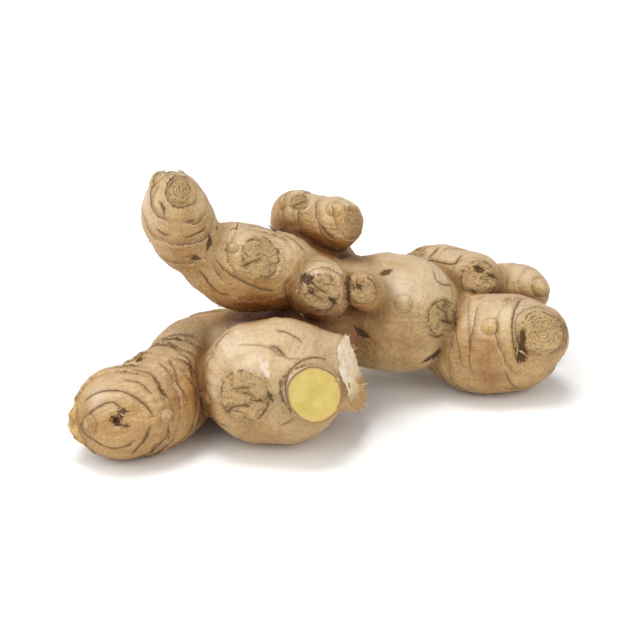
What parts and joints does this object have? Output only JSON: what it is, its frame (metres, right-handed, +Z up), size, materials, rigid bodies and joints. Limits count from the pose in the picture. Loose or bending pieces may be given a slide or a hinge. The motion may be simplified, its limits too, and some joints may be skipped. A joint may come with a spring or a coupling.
{
  "type": "ginger root",
  "caption": "Fresh ginger root, a branched rhizome of swollen ringed lobes with dry shoot scars and small buds, a clean cut face and a snapped end, lying on its lower lobes.",
  "frame": {"origin": "middle of the bounding box at its base, on the surface that the root lies on", "axes": "+X along the root's longest reach, towards the thick ringed finger; +Y to the back; +Z up"},
  "size_m": [0.1766, 0.1106, 0.0945],
  "materials": {
    "ginger_skin": "dry papery skin, matte with a faint sheen on the taut lobes"
  },
  "bodies": {
    "root": {"rhizome": "ginger_skin"}
  },
  "joints": []
}
